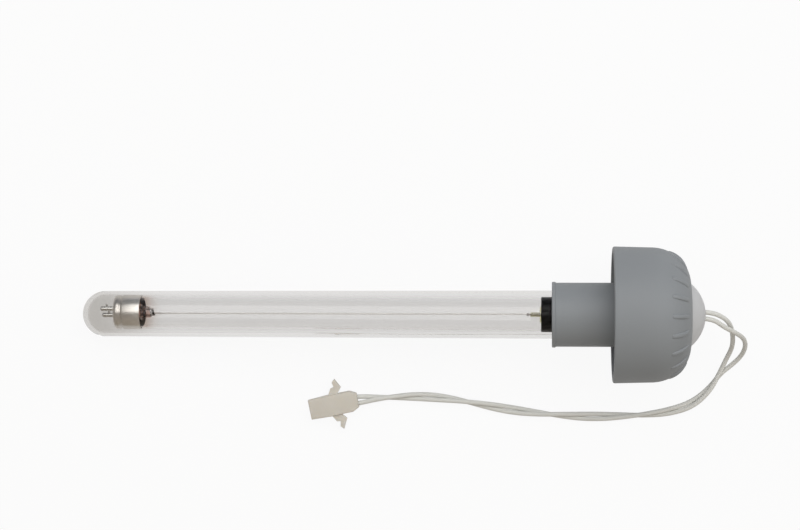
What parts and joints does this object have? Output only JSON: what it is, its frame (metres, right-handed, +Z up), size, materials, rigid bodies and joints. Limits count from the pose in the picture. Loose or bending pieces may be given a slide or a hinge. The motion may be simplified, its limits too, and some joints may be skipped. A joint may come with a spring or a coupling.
{
  "type": "uv lamp",
  "caption": "Clear germicidal UV lamp in a domed quartz sleeve, with a grey bell-shaped holder, a white rear plug and thin leads to a snap-in connector.",
  "frame": {"origin": "on the floor under the middle of the lamp, from the sleeve's tip to the top of the rear plug", "axes": "+X from the sleeve's tip to the rear plug along the floor, +Z up; the lamp leans up towards the rear"},
  "size_m": [0.3128, 0.0862, 0.0637],
  "materials": {
    "quartz": "clear",
    "lamp_glass": "clear",
    "stem_glass": "clear",
    "cap_metal": "drawn",
    "cap_disc": "matt",
    "pin_metal": "nickel plated",
    "wire_metal": "drawn",
    "coil_metal": "coated",
    "black_cap": "satin",
    "carrier_plastic": "matt",
    "contact_metal": "tinned",
    "holder_plastic": "moulded satin",
    "plug_plastic": "moulded satin",
    "lead_insulation": "smooth",
    "connector_nylon": "natural nylon"
  },
  "bodies": {
    "root": {"quartz_sleeve": "quartz", "lamp_tube": "lamp_glass", "tip_end_cap": "cap_metal", "tip_cap_disc": "cap_disc", "tip_cap_pins": "pin_metal", "tip_stem": "stem_glass", "tip_lead_wires": "wire_metal", "tip_filament": "coil_metal", "holder_end_cap": "black_cap", "holder_cap_pins": "pin_metal", "holder_stem": "stem_glass", "holder_lead_wires": "wire_metal", "holder_filament": "coil_metal", "pin_carrier": "carrier_plastic", "pin_contacts": "contact_metal", "return_wire": "wire_metal", "splice_crimp": "contact_metal", "inner_leads": "lead_insulation", "holder": "holder_plastic", "rear_plug": "plug_plastic", "lead_wire_1": "lead_insulation", "lead_wire_2": "lead_insulation", "plug_housing": "connector_nylon", "plug_contacts": "contact_metal"}
  },
  "joints": []
}
